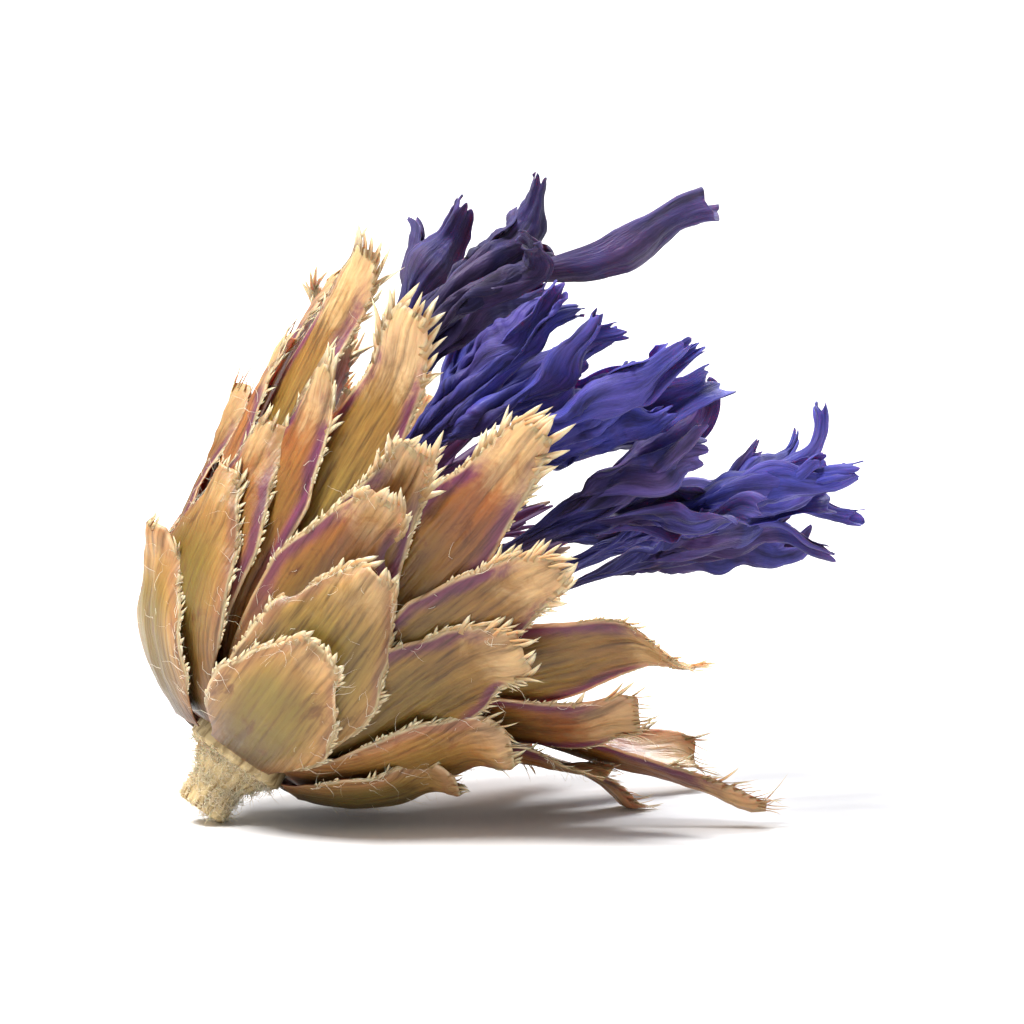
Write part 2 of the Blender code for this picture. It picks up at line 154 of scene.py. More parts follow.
def smooth(t):
    """0 below 0, 1 above 1, and a smooth rise between."""
    t = np.clip(t, 0, 1)
    return t * t * (3 - 2 * t)


def ease(t):
    """The same for one number."""
    return float(smooth(t))


def unit(v):
    return v / np.maximum(np.linalg.norm(v, axis=-1, keepdims=True), 1e-12)


def lattice(i, seed):
    """A fixed value from 0 to 1 for each whole-number point."""
    h = np.sin(i[..., 0] * 127.1 + i[..., 1] * 311.7 + i[..., 2] * 74.7 + seed * 17.13) * 43758.5453
    return h - np.floor(h)


def noise(p, seed=0.0):
    """Smooth noise from -1 to 1 at an array of points."""
    p = np.asarray(p, float)
    i = np.floor(p)
    f = p - i
    f = f * f * (3 - 2 * f)
    total = 0
    for corner in range(8):
        o = np.array([corner & 1, corner >> 1 & 1, corner >> 2 & 1])
        weight = np.prod(np.where(o, f, 1 - f), axis=-1)
        total = total + weight * lattice(i + o, seed)
    return 2 * total - 1


def fractal(p, seed=0.0, octaves=3):
    """Noise with finer noise on it."""
    p = np.asarray(p, float)
    return sum(noise(p * 2 ** k, seed + 9.7 * k) / 2 ** k for k in range(octaves)) / 1.6


def above_surface(points, least):
    """The same points, with any that would sink into the surface bent up to lie along it."""
    height = points @ LIE[2] + ORIGIN[2] / MM
    raised = (height + least + np.sqrt((height - least) ** 2 + 0.08 ** 2)) / 2
    return points + (raised - height)[..., None] * LIE[2]


def stack(*parts):
    """Arrays of x, y and z, broadcast together into one array of points."""
    return np.stack(np.broadcast_arrays(*parts), axis=-1)


def round_axis(azimuth):
    """Directions outward and sideways, square to the flower's axis."""
    out = np.array([cos(azimuth), sin(azimuth), 0])
    return out, np.array([-out[1], out[0], 0])


def turned(a, b, angle):
    """Two directions turned in their own plane, the first towards the second."""
    return a * cos(angle) + b * sin(angle), b * cos(angle) - a * sin(angle)


class Piece:
    """Gathers the meshes of one natural part, with values at each point that its materials read."""

    VALUES = ("across", "along", "edge", "tooth", "inside", "seed", "age")

    def __init__(self):
        self.points, self.faces, self.slots, self.flat = [], [], [], []
        self.values = {k: [] for k in self.VALUES}
        self.count = 0

    def add(self, points, faces, slot=0, flat=None, **values):
        points = np.asarray(points, float).reshape(-1, 3)
        n = len(points)
        self.points.append(points)
        self.faces += [tuple(int(i) + self.count for i in f) for f in faces]
        self.slots += [slot] * len(faces)
        self.flat.append(np.zeros((n, 3)) if flat is None else np.asarray(flat, float).reshape(-1, 3))
        for k in self.VALUES:
            self.values[k].append(np.broadcast_to(np.ravel(values.get(k, 0.0)), n))
        self.count += n

    def build(self, name, materials, node):
        """Lays the gathered meshes down as one object in the place of a CAD node."""
        points = np.concatenate(self.points) @ LIE.T * MM + ORIGIN
        points[:, 2] = np.maximum(points[:, 2], 0)
        mesh = bpy.data.meshes.new(name)
        mesh.from_pydata(points.tolist(), [], self.faces)
        for k, chunks in self.values.items():
            layer = mesh.attributes.new(k, "FLOAT", "POINT")
            layer.data.foreach_set("value", np.concatenate(chunks).astype(np.float32))
        layer = mesh.attributes.new("flat", "FLOAT_VECTOR", "POINT")
        layer.data.foreach_set("vector", np.concatenate(self.flat).astype(np.float32).ravel())
        for m in materials:
            mesh.materials.append(m)
        mesh.polygons.foreach_set("material_index", self.slots)
        mesh.shade_smooth()
        mesh.update()
        obj = bpy.data.objects.new(name, mesh)
        bpy.context.scene.collection.objects.link(obj)
        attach(obj, "root")
        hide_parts(node)


def grid_faces(rows, columns):
    """Quads of a grid of points, rows first."""
    return [(j * columns + i, j * columns + i + 1, (j + 1) * columns + i + 1, (j + 1) * columns + i)
            for j in range(rows - 1) for i in range(columns - 1)]


def tube_faces(rows, around):
    """Quads of a grid of points whose rows close on themselves."""
    return [(j * around + i, j * around + (i + 1) % around,
             (j + 1) * around + (i + 1) % around, (j + 1) * around + i)
            for j in range(rows - 1) for i in range(around)]


def capped_faces(rows, around):
    """The same, closed by a face at each end."""
    ends = [tuple(range(around - 1, -1, -1)), tuple(range((rows - 1) * around, rows * around))]
    return tube_faces(rows, around) + ends


def spike_faces(rows, around):
    """Faces of a spike: a base, rings of points and then one point for its tip."""
    last = (rows - 1) * around
    tip = [(last + i, last + (i + 1) % around, last + around) for i in range(around)]
    return [tuple(range(around - 1, -1, -1))] + tube_faces(rows, around) + tip


def normals_of(points, quads):
    """The surface's normal at each point."""
    quads = np.asarray(quads)
    a, b, c, d = (points[quads[:, k]] for k in range(4))
    face = np.cross(c - a, d - b)
    total = np.zeros_like(points)
    for k in range(4):
        np.add.at(total, quads[:, k], face)
    return unit(total)


def thicken(points, quads, thickness):
    """A closed sheet round a surface: outer points, then inner ones, and their faces."""
    points = np.asarray(points, float).reshape(-1, 3)
    normal = normals_of(points, quads)
    half = np.broadcast_to(thickness, len(points)).reshape(-1, 1) / 2
    n = len(points)
    q = np.asarray(quads)
    edges = np.concatenate([q[:, [k, (k + 1) % 4]] for k in range(4)])
    code, back = edges[:, 0] * n + edges[:, 1], edges[:, 1] * n + edges[:, 0]
    rim = edges[~np.isin(code, back)]
    faces = [tuple(f) for f in q.tolist()]
    faces += [(f[3] + n, f[2] + n, f[1] + n, f[0] + n) for f in q.tolist()]
    faces += [(b, a, a + n, b + n) for a, b in rim.tolist()]
    return np.concatenate([points + normal * half, points - normal * half]), faces


def doubled(values):
    """Values at the points of a surface, for both sides of the sheet thickened from it."""
    return np.tile(np.ravel(values), 2)


# ---------------- the wall of bracts


def wall_angle(s, azimuth):
    """Lean of the wall from upright, a length s up it, by azimuth."""
    openness = (0.5 + 0.5 * np.cos(azimuth - OPEN_SIDE)) ** OPEN_SIDE_SHARPNESS
    root = ROOT_ANGLE * np.exp(-((s / ROOT_REACH) ** 2))
    splay = (SPLAY_ANGLE + OPEN_SIDE_SPLAY * openness) * smooth((s - SPLAY_FROM) / SPLAY_REACH)
    return root + BELLY_ANGLE + splay


class Wall:
    """A sheet of the bract wall round one bract: radius, height and lean by azimuth and share."""

    SPREAD, SAMPLES = 0.7, 29

    def __init__(self, azimuth, length, offset, bend, loose_from):
        self.azimuth = azimuth
        phi = azimuth + np.linspace(-self.SPREAD, self.SPREAD, self.SAMPLES)[:, None]
        step = length / PATH_STEPS
        s = np.arange(PATH_STEPS + 1) * step
        angles = wall_angle(s[None, :], phi)
        extra = bend * np.clip((s - loose_from) / (length - loose_from), 0, None) ** 1.3
        stretch = step - offset * np.diff(angles, axis=1)
        lean = (angles[:, :-1] + angles[:, 1:]) / 2 + extra[1:]
        start = angles[:, :1]
        radius = np.hstack([WALL_START_RADIUS + offset * np.cos(start), stretch * np.sin(lean)])
        height = np.hstack([WALL_START_HEIGHT - offset * np.sin(start), stretch * np.cos(lean)])
        self.table = np.stack([np.cumsum(radius, axis=1), np.cumsum(height, axis=1), angles + extra], axis=-1)

    def at(self, azimuth, share):
        """Radius, height and lean at an azimuth and a share of the bract's length."""
        x = (azimuth - self.azimuth + self.SPREAD) / (2 * self.SPREAD) * (self.SAMPLES - 1)
        x = np.clip(x, 0, self.SAMPLES - 1.001)
        y = np.clip(share * PATH_STEPS, 0, PATH_STEPS - 0.001)
        i, j = x.astype(int), y.astype(int)
        fx, fy = (x - i)[..., None], (y - j)[..., None]
        t = self.table
        low = t[i, j] * (1 - fy) + t[i, j + 1] * fy
        high = t[i + 1, j] * (1 - fy) + t[i + 1, j + 1] * fy
        return np.moveaxis(low * (1 - fx) + high * fx, -1, 0)


def bract_outline(share, tip):
    """A bract's width up its length, as a share of its greatest width."""
    root = 0.5 + 0.5 * smooth(share / 0.45)
    return root * (1 - (1 - tip) * smooth((share - 0.5) / 0.5))


def bract_surface(ring, number):
    """Middle surface of one bract and what its parts are: rows by columns arrays."""
    count, length, half_width, loose_from, tip, first, least_bend, most_bend = RINGS[ring]
    rng = random.Random(100 * ring + number)
    azimuth = 2 * pi * (first + (number + rng.uniform(-0.02, 0.02)) / count)
    length *= rng.uniform(0.95, 1.04)
    bend = radians(rng.uniform(least_bend, most_bend))
    lift = sin(radians(rng.uniform(-EDGE_LIFT, EDGE_LIFT)))
    drift = radians(rng.uniform(-TIP_DRIFT, TIP_DRIFT))
    offset = RING_PITCH * (len(RINGS) - 1 - ring)
    wall = Wall(azimuth, length, offset, bend, loose_from)
    seed = rng.uniform(0, 50)

    share = np.linspace(0, 1, BRACT_ROWS)[:, None] ** 0.9
    across = np.linspace(-1, 1, BRACT_COLUMNS)[None, :]
    across = np.sign(across) * np.abs(across) ** 0.85
    loose = smooth((share * length - loose_from) / (length - loose_from))
    ragged = 1 + (0.04 + 0.1 * share ** 2) * noise(stack(share * 11, np.sign(across) * 3.0, 0.5), seed)
    rounding = np.sqrt(np.clip(1 - (np.clip(share - 0.86, 0, 1) / 0.15) ** 2 * 0.8, 0.05, 1))
    width = half_width * bract_outline(share, max(tip, 0.4)) * ragged * rounding
    room = pi / count - BRACT_GAP / 2 / WALL_START_RADIUS
    reach = WALL_START_RADIUS + 0.75 * share * length
    for _ in range(3):
        spread = np.minimum(width / reach, room)
        turn = across * spread + tan(drift) * loose * (length - loose_from) / reach
        radius, height, angle = wall.at(azimuth + turn, share + 0 * turn)
        reach = radius
    phi = azimuth + turn
    way = stack(np.cos(phi), np.sin(phi), 0.0)
    normal = way * np.cos(angle)[..., None] - stack(0.0, 0.0, np.sin(angle))
    half = spread * reach
    edge = half * abs(lift) * (1 + across * copysign(1, lift)) * loose
    cup = rng.uniform(0.05, 0.6)
    free = smooth((share * length - 0.8 * loose_from) / (0.4 * length))
    flat = stack(across * half, share * length, seed)
    relief = 0.014 * np.cos(across * 4.5 * pi) * smooth(share * 3) * (1 - 0.6 * share)
    relief += 0.05 * (1 - np.abs(across)) ** 3 * smooth(share * 4) * (1 - share)
    waves = fractal(flat * [0.9, 0.42, 1], seed) * (0.4 + 0.6 * np.abs(across))
    relief += (0.02 + 0.2 * free) * waves
    relief += (0.012 + 0.08 * free) * noise(flat * [2.6, 1.2, 1], seed + 3)
    relief += 0.035 * free * noise(flat * [6, 2.4, 1], seed + 7)
    relief += (0.012 + 0.016 * free) * noise(flat * [1.6, 5.5, 1], seed + 11)
    relief -= cup * half * across ** 2 * free
    for _ in range(3):
        place, deep, wide = rng.uniform(-0.7, 0.7), rng.uniform(-0.07, 0.05), rng.uniform(0.07, 0.16)
        bent = place + 0.2 * noise(stack(share * 3, place, 0.0), seed)
        relief += deep * np.exp(-(((across - bent) / wide) ** 2)) * smooth(share * 2.5)
    hook, warp = rng.uniform(-0.45, 0.8), rng.uniform(-0.3, 0.3)
    relief += hook * smooth((share - 0.76) / 0.24) ** 2 * (0.4 if ring < 2 else 1)
    relief += warp * across * smooth((share - 0.6) / 0.4) * (0.3 if ring < 2 else 1)
    points = way * radius[..., None] + stack(0.0, 0.0, height) + normal * (edge + relief)[..., None]
    points = above_surface(points, BRACT_CLEAR)
    facts = dict(length=length, half=half, share=share + 0 * across, across=across + 0 * share, seed=seed,
                 flat=flat, ring=ring, rng=rng, normal=normal)
    return points, facts


def margin_line(points, facts, start):
    """Points up one side of a bract, over its tip and down the other, with the outward, forward and
    normal directions there, and a share of the full tooth length."""
    rows, columns = points.shape[:2]
    first = int(np.searchsorted(facts["share"][:, 0], start))
    left = [(j, 0) for j in range(first, rows)]
    top = [(rows - 1, i) for i in range(1, columns - 1)]
    right = [(j, columns - 1) for j in range(rows - 1, first - 1, -1)]
    line = []
    for j, i in left + top + right:
        p = points[j, i]
        up = unit(points[min(j + 1, rows - 1), i] - points[max(j - 1, 0), i])
        side = unit(points[j, min(i + 1, columns - 1)] - points[j, max(i - 1, 0)])
        x = facts["across"][j, i]
        out = side * copysign(1, x) if i in (0, columns - 1) else unit(up + side * x * 0.6)
        if j == rows - 1 and i in (0, columns - 1):
            out = unit(up + side * x)
        line.append((p, out, up, facts["normal"][j, i], facts["share"][j, i], x))
    return line


def add_tooth(piece, p, direction, normal, length, width, curl, flat, **values):
    """A flat pointed tooth rooted well inside the margin, that bends away from its plane."""
    side = unit(np.cross(direction, normal))
    root = -0.9 * width / length
    points, tooth = [], []
    for t in (root, 0.25, 0.68):
        w = width * (1 - 0.82 * max(t, 0) ** 1.1) / 2
        centre = p + direction * length * t + normal * curl * length * max(t, 0) ** 2
        thick = 0.014 * (1 - 0.5 * max(t, 0))
        points += [centre + side * w, centre + normal * thick, centre - side * w, centre - normal * thick]
        tooth += [0.35 + 0.65 * max(t, 0)] * 4
    points.append(p + direction * length + normal * curl * length)
    tooth.append(1.0)
    piece.add(points, spike_faces(3, 4), flat=np.tile(flat, (13, 1)), tooth=tooth, **values)


def add_fringe(piece, points, facts):
    """Teeth up both margins: short and pressed forward along the sides, a broad comb at the tip."""
    ring, rng, seed = facts["ring"], facts["rng"], facts["seed"]
    start = FRINGE_FROM[ring]
    line = margin_line(points, facts, start)
    walk, due = 0.0, 0.0
    for k in range(1, len(line)):
        p, out, up, normal, share, x = line[k]
        walk += float(np.linalg.norm(p - line[k - 1][0]))
        while walk >= due:
            comb = ease((share - COMB_FROM[ring]) / 0.1)
            grown = ease((share - start) / 0.2)
            length = (0.07 + 0.13 * grown) * (1 - comb) + (0.26 + 0.07 * ring) * comb
            length *= rng.choice((0.45, 0.8, 1.0, 1.1, 1.35)) * rng.uniform(0.85, 1.15)
            width = (0.09 + 0.04 * grown) * (1 - comb) + 0.2 * comb
            width *= rng.uniform(0.7, 1.3)
            lean = radians(rng.uniform(38, 78) if abs(x) > 0.97 else rng.uniform(62, 90))
            lean += (1 - lean) * 0.25 * comb
            direction = unit(out * cos(lean) + up * sin(lean))
            at = line[k - 1][0] + (p - line[k - 1][0]) * rng.random()
            curl = rng.uniform(-0.4, 0.35) if comb < 0.5 else rng.uniform(-0.35, 0.35)
            if rng.random() > 0.16 and noise(np.array([walk * 1.1, ring, 0.5]), seed) < 0.55:
                add_tooth(piece, at, direction, normal, length, width, curl,
                          (x * 1.2, share * facts["length"], seed), across=x, along=share,
                          seed=seed, age=ring / 4, inside=0.35)
            due += width * rng.uniform(0.5, 0.85)


def add_threads(piece, roots, directions, normals, rng, length, radius, droop):
    """Fine hairs, of the second material: three-sided threads that wander as they grow."""
    steps = 5
    for p, d, n in zip(roots, directions, normals):
        size = length * rng.uniform(0.4, 1.3)
        way = unit(np.asarray(d, float))
        at = np.asarray(p, float) - way * 0.04
        points = []
        for k in range(steps):
            a = unit(np.cross(way, n) + 1e-6)
            b = np.cross(way, a)
            r = radius * (1 - 0.75 * k / (steps - 1))
            points += [at + r * (a * cos(t) + b * sin(t)) for t in (0.3, 2.4, 4.5)]
            way = unit(way + np.array([rng.gauss(0, droop) for _ in range(3)]) - n * droop * 0.35)
            at = at + way * size / steps
        points.append(at)
        piece.add(points, spike_faces(steps, 3), slot=1)


def build_bract(ring, number, materials):
    """One bract: a thin sheet with its fringe of teeth and its hairs."""
    points, facts = bract_surface(ring, number)
    rows, columns = points.shape[:2]
    share, across, outward = facts["share"], facts["across"], facts["normal"]
    side = (1 - np.abs(across)) * facts["half"]
    top = (1 - share) * facts["length"] + 0.02
    edge = np.clip(np.minimum(side, top) / 0.55, 0, 1)
    solid, faces = thicken(points, grid_faces(rows, columns), (0.03 + 0.08 * smooth(edge * 1.4)).ravel())
    piece = Piece()
    piece.add(solid, faces, flat=doubled(facts["flat"]), across=doubled(across), along=doubled(share),
              edge=doubled(edge), inside=np.repeat([0.0, 1.0], points.size // 3), seed=facts["seed"],
              age=ring / 4)
    add_fringe(piece, points, facts)
    rng = random.Random(4000 + 100 * ring + number)
    picks = [(rng.randrange(rows // 5, rows - 4), rng.choice((rng.randrange(1, columns - 1), 1, columns - 2)))
             for _ in range(BRACT_HAIRS[ring])]
    roots = [points[j, i] + outward[j, i] * 0.05 for j, i in picks]
    up = [unit(points[j + 1, i] - points[j, i]) for j, i in picks]
    normals = [outward[j, i] for j, i in picks]
    ways = [u * rng.uniform(0.4, 1) + n * rng.uniform(0.1, 0.5) + np.cross(u, n) * rng.uniform(-0.8, 0.8)
            for u, n in zip(up, normals)]
    add_threads(piece, roots, ways, normals, rng, 0.8, 0.0065, 0.45)
    node = f"bract_ring{ring + 1}_{number + 1:02d}"
    piece.build(node + "_dry", materials, node)


# ---------------- florets


def floret_path(azimuth, base_radius, lean, bends, length, steps):
    """Points up a floret, by the CAD's rule."""
    out, side = round_axis(azimuth)
    droop = round_axis(OPEN_SIDE)[0] * DROOP
    point = out * base_radius + UP * FLORET_BASE_HEIGHT
    points = [point]
    for n in range(steps):
        share = (n + 0.5) / steps
        outward, sideways = lean, 0.0
        for start, more_out, more_side in bends:
            grown = ease((share - start) / (1 - start))
            outward += more_out * grown
            sideways += more_side * grown
        way = UP * cos(outward) + out * sin(outward)
        way = way + side * sin(sideways) + droop * ease(1.6 * share)
        point = point + unit(way) * (length / steps)
        points.append(point)
    return np.array(points)


def frames_along(points, side):
    """Directions at each point of a line: along it, and two across it that don't twist about it."""
    tangent = unit(np.gradient(points, axis=0))
    across = np.zeros_like(points)
    for n, t in enumerate(tangent):
        side = unit(side - t * side.dot(t))
        across[n] = side
    return tangent, across, np.cross(tangent, across)


def along(values, share):
    """Values on an evenly spaced line, read at any share of it."""
    x = np.clip(np.asarray(share, float), 0, 1) * (len(values) - 1)
    i = np.minimum(x.astype(int), len(values) - 2)
    f = (x - i)[..., None]
    return values[i] * (1 - f) + values[i + 1] * f


def swept(line, share, x, y):
    """Points set off from a centreline, given with its side and outward directions."""
    path, side, out = line
    share = share + 0 * x
    return along(path, share) + along(side, share) * x[..., None] + along(out, share) * y[..., None]


def limb_rings(line, shares, notch, wide, flatness, whirl, ridges, phase, seed):
    """Rings of points up a ray floret: a thin tube, and then a collapsed, pleated limb whose rim is
    cut back by a notch between the lobes."""
    shares = np.asarray(shares, float)[:, None]
    between = smooth((shares - 0.5) / (RIM_AT - 0.5)) * (0.5 + 0.5 * np.cos(LOBES * ANGLE)) ** 2
    shares = shares - notch * between
    foot = 0.1 * np.exp(-(((shares - 0.07) / 0.05) ** 2))
    flare = smooth((shares - 0.42) / (RIM_AT + 0.04 - 0.42))
    radius = 0.17 + foot + (wide - 0.17) * flare ** 1.2
    radius *= 1 + (0.1 + 0.12 * flare) * np.cos(LOBES * ANGLE + pi)
    radius *= 1 + 0.1 * noise(stack(shares * 22, ANGLE * 1.3, 0.0), seed)
    squeeze = (0.75 - 0.5 * smooth((shares - 0.15) / 0.35)) * flatness / 0.45
    x, y = radius * np.cos(ANGLE), radius * squeeze * np.sin(ANGLE)
    pleats = ridges * pi * x / wide + phase + 2.5 * noise(stack(shares * 5, 0.0, 0.0), seed)
    y += (0.02 + 0.15 * flare) * np.cos(pleats)
    x *= 1 - 0.16 * flare
    twist = whirl * (shares - 0.2) + 0.35 * noise(stack(shares * 6, 1.0, 2.0), seed)
    x, y = x * np.cos(twist) - y * np.sin(twist), x * np.sin(twist) + y * np.cos(twist)
    return swept(line, shares, x, y)


def draw_lobe(rng, k, length, arched):
    """How one lobe happens to lie: lengths in millimetres, angles in degrees, the rest as shares."""
    reach = length * (1 - RIM_AT)
    lobe = dict(number=k, spread=rng.uniform(0.2, 1.0), size=reach * rng.uniform(0.5, 0.95),
                curl=rng.uniform(-35, 60))
    if arched:
        lobe.update(size=reach * ARCHED_LOBES[k], curl=rng.uniform(*((70, 150) if k else (-20, 25))))
    lobe.update(sway=rng.uniform(-24, 24), twist=rng.uniform(-95, 95), roll=rng.uniform(0.8, 2.6),
                fold=rng.uniform(0.15, 0.5), width=rng.uniform(0.68, 0.95), widen=1.0,
                blunt=rng.uniform(0.3, 0.8), slant=rng.uniform(-0.7, 0.7), rag=0.3)
    if arched and k == 0:
        lobe.update(roll=1.7, fold=0.2, widen=1.25, blunt=0.7, slant=0.15, rag=0.08, twist=40)
    return lobe


def lobe_rows(lobe, base, half, way, across, phase, seed):
    """Rows of points up one lobe, which leave its base where it is and part from it as they go."""
    curl, sway, twist = (radians(lobe[k]) for k in ("curl", "sway", "twist"))
    blunt, roll, k = lobe["blunt"], lobe["roll"], lobe["number"]
    up = np.cross(across, way)
    at = base[LOBE_COLUMNS // 2]
    q = np.linspace(-1, 1, LOBE_COLUMNS + 1)
    rows = []
    for j in range(LOBE_ROWS + 1):
        t = j / LOBE_ROWS
        bend = curl / LOBE_ROWS * (0.4 + 1.2 * t) + 3.0 / LOBE_ROWS * sin(9 * t + seed + k)
        way, up = turned(way, up, bend * ease(t / 0.25))
        way, across = turned(way, across, sway / LOBE_ROWS)
        across, up = turned(across, up, twist / LOBE_ROWS * 1.5 * t)
        at = at + way * (lobe["size"] / LOBE_ROWS if j else 0.0)
        w = half * (1 - (1 - blunt) * ease((t - 0.45) / 0.55)) * (1 + 0.1 * sin(14 * t + seed))
        kappa = 0.5 + (roll - 0.5) * ease(t / 0.5)
        torn = lobe["slant"] * q * w + lobe["rag"] * np.abs(np.sin(q * 5 + seed + k))
        torn -= 0.35 * q ** 2 * (1 - blunt)
        lift = lobe["fold"] * w * (1 - np.abs(q)) * ease(t / 0.3) + 0.05 * np.cos(q * 9 + phase)
        rows.append(at + across * (np.sin(q * kappa) / kappa * w)[:, None]
                    + way * torn[:, None] * ease((t - 0.6) / 0.4)
                    - up * ((1 - np.cos(q * kappa)) / kappa * w - lift)[:, None])
    blend = 1 - smooth(np.arange(1, LOBE_ROWS + 1) / LOBE_ROWS / 0.45)[:, None, None]
    return np.array(rows[1:]) + (base - rows[0]) * blend


def build_ray(number, row, materials):
    """A shrivelled ray floret: a thin tube that widens to a collapsed, pleated limb whose lobes
    have dried together with blunt and torn ends."""
    azimuth, length, bend_from, outward, sideways, limb, flatness, parting = row
    rng = random.Random(700 + number)
    seed = rng.uniform(0, 50)
    turn = radians(azimuth)
    path = floret_path(turn, RAY_BASE_RADIUS, radians(15),
                       [(bend_from, radians(outward), radians(sideways))], length, 120)
    tangent, side, out = frames_along(path, round_axis(turn)[1])
    line = (path, side, out)
    habit = dict(whirl=rng.uniform(-1.6, 1.6), ridges=rng.uniform(4.2, 6.0), phase=rng.uniform(0, 6),
                 wide=limb * rng.uniform(0.85, 1.15), flatness=flatness, seed=seed)
    share = np.linspace(0.015, RIM_AT, TUBE_ROWS)
    tube = limb_rings(line, share, NOTCH, **habit)
    whole = limb_rings(line, share[-1:], 0, **habit)[0]
    points, quads = [tube.reshape(-1, 3)], tube_faces(TUBE_ROWS, AROUND)
    flat = [stack(0.6 * ANGLE, share[:, None] * length, seed).reshape(-1, 3)]
    edge, lengthwise = [np.ones(TUBE_ROWS * AROUND)], [np.repeat(share, AROUND)]
    centre, forward = along(path, np.array(RIM_AT)), along(tangent, np.array(RIM_AT))
    q = np.linspace(-1, 1, LOBE_COLUMNS + 1)
    t = (np.arange(LOBE_ROWS) + 1)[:, None] / LOBE_ROWS
    onward = RIM_AT + (1 - RIM_AT) * t
    count = TUBE_ROWS * AROUND
    for k in range(LOBES):
        columns = [(k * LOBE_COLUMNS + i) % AROUND for i in range(LOBE_COLUMNS + 1)]
        base, uncut = tube[-1][columns], whole[columns]
        lobe = draw_lobe(rng, k, length, number == ARCHED)
        away = unit(base[LOBE_COLUMNS // 2] - centre)
        way = unit(forward + away * (0.1 + 0.5 * max(parting, 0)) * lobe["spread"])
        across = unit(uncut[-1] - uncut[0])
        across = unit(across - way * across.dot(way))
        half = np.linalg.norm(np.diff(uncut, axis=0), axis=1).sum() / 2 * lobe["width"] * lobe["widen"]
        points.append(lobe_rows(lobe, base, half, way, across, habit["phase"], seed).reshape(-1, 3))
        lower = [(TUBE_ROWS - 1) * AROUND + c for c in columns]
        for _ in range(LOBE_ROWS):
            upper = range(count, count + LOBE_COLUMNS + 1)
            quads += [(lower[i], lower[i + 1], upper[i + 1], upper[i]) for i in range(LOBE_COLUMNS)]
            lower, count = upper, count + LOBE_COLUMNS + 1
        x = 0.6 * (k + (q + 1) / 2) / LOBES * 2 * pi
        flat.append(stack(x, onward * length, seed).reshape(-1, 3))
        edge.append(np.minimum(1 - np.abs(q), (1 - t) * 3).ravel())
        lengthwise.append((onward + 0 * q).ravel())
    points, flat, lengthwise = (np.concatenate(v) for v in (points, flat, lengthwise))
    edge = np.clip(np.concatenate(edge), 0, 1)
    wrinkles = (0.08 * noise(points * 0.9, seed) + 0.045 * noise(points * 2.3, seed + 2)
                + 0.07 * noise(flat * [5, 0.5, 1], seed + 5) + 0.06 * noise(flat * [11, 0.9, 1], seed + 8)
                + 0.02 * noise(flat * [4, 6, 1], seed + 11))
    points = points + normals_of(points, quads) * (smooth((lengthwise - 0.25) / 0.4) * wrinkles)[:, None]
    solid, faces = thicken(points, quads, 0.022 + 0.02 * edge)
    piece = Piece()
    piece.add(solid, faces, flat=doubled(flat), along=doubled(lengthwise), edge=doubled(edge),
              age=rng.random())
    node = f"ray_floret_{number:02d}"
    piece.build(node + "_dry", materials, node)


def build_disc_floret(number, materials):
    """A small tube floret with five narrow lobes round a dark column of anthers."""
    n = number - 1
    rng = random.Random(900 + n)
    azimuth = n * GOLDEN_ANGLE
    base_radius = DISC_FLORET_PITCH * sqrt(n + 0.6)
    lean = radians(19) * base_radius / RAY_BASE_RADIUS
    tilt = radians(rng.uniform(-8, 8))
    length = rng.uniform(6.2, 7.6)
    seed = rng.uniform(0, 50)
    path = floret_path(azimuth, base_radius, lean, [(0.5, radians(9), tilt)], length, 40)
    tangent, side, out = frames_along(path, round_axis(azimuth)[1])
    line = (path, side, out)
    piece = Piece()

    angle = np.arange(20) / 20 * 2 * pi
    share = np.linspace(0, DISC_RIM_AT, 40)[:, None]
    radius = np.interp(share, *zip(*DISC_PROFILE))
    radius = radius * (1 + 0.16 * smooth((share - 0.4) / 0.2) * np.cos(5 * angle))
    radius = radius * (1 + 0.05 * noise(stack(share * 30, angle * 1.2, 0.0), seed))
    tube = swept(line, share, radius * np.cos(angle), radius * np.sin(angle))
    solid, faces = thicken(tube, tube_faces(40, 20), 0.04)
    piece.add(solid, faces, flat=doubled(stack(angle * 0.3, share * length, seed)),
              along=doubled(share + 0 * radius))

    here = np.array(DISC_LOBES_AT)
    q = np.linspace(-1, 1, 5)
    for k in range(5):
        a = (k + 0.5) / 5 * 2 * pi
        spoke = along(side, here) * cos(a) + along(out, here) * sin(a)
        at = along(path, here) + spoke * 0.27
        way, away = unit(along(tangent, here)), unit(spoke)
        wide = np.cross(way, away)
        bend = radians(rng.uniform(5, 60)) / 10
        size = length * 0.24 * rng.uniform(0.8, 1.1)
        rows = []
        for j in range(11):
            w = 0.12 * (1 - (j / 10) ** 3) + 0.012
            rows.append(at + wide * (q * w)[:, None] + away * (0.05 * (1 - q ** 2))[:, None])
            way, away = turned(way, away, bend)
            at = at + way * size / 10
        solid, faces = thicken(np.array(rows), grid_faces(11, 5), 0.035)
        t = np.linspace(DISC_RIM_AT, 1, 11)[:, None] + 0 * q
        piece.add(solid, faces, flat=doubled(stack(q * 0.1 + k, t * length, seed)), along=doubled(t))

    stations = np.array([0.66, 0.8, 0.9, 0.955, 0.985])
    sizes = np.array([0.08, 0.1, 0.1, 0.075, 0.03])[:, None]
    angle = np.arange(8) / 8 * 2 * pi
    column = swept(line, stations[:, None], sizes * np.cos(angle), sizes * np.sin(angle))
    piece.add(column, capped_faces(5, 8), slot=1, along=np.repeat(stations, 8))
    node = f"disc_floret_{number:02d}"
    piece.build(node + "_dry", materials, node)


# ---------------- stem and receptacle


